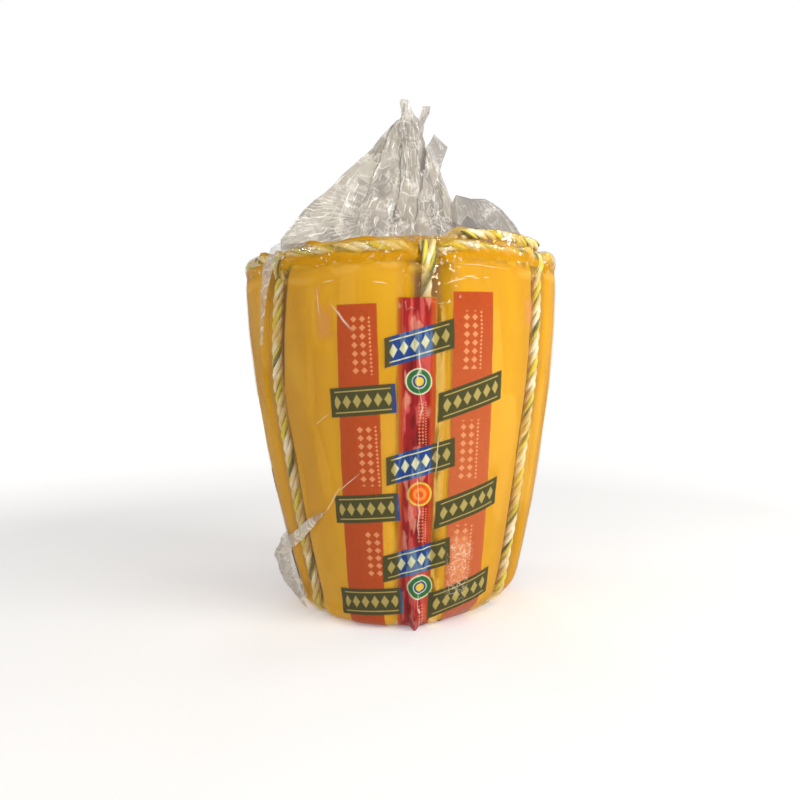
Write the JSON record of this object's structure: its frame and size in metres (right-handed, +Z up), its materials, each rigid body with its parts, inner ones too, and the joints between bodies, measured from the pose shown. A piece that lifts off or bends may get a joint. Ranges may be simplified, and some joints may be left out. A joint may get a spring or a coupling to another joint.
{
  "type": "provolone cheese",
  "caption": "Whole tapered provolone cheese tied in a twine cradle and sealed in a clear vacuum bag whose loose top stands up above it.",
  "frame": {"origin": "centre of the cheese's base, on the surface that it stands on", "axes": "+Z up along the cheese's height; -Y is the front, with the printed middle strip; +X is to the right seen from the front"},
  "size_m": [0.2173, 0.2152, 0.354],
  "materials": {
    "cheese": "waxy yellow rind under clinging film",
    "twine": "three-strand twisted twine, cream, yellow and olive",
    "film": "glossy clear film, greyed where it is crumpled"
  },
  "bodies": {
    "root": {"cheese": "cheese", "twine_ring": "twine", "twine_fall_1": "twine", "twine_fall_2": "twine", "twine_fall_3": "twine", "twine_fall_4": "twine", "twine_fall_5": "twine", "twine_fall_6": "twine", "twine_knot_1": "twine", "twine_knot_2": "twine", "twine_knot_3": "twine", "twine_knot_4": "twine", "twine_knot_5": "twine", "twine_knot_6": "twine", "twine_foot_ring": "twine", "twine_strand": "twine", "bag_top": "film", "bag_seam": "film", "bag_corner": "film"}
  },
  "joints": []
}
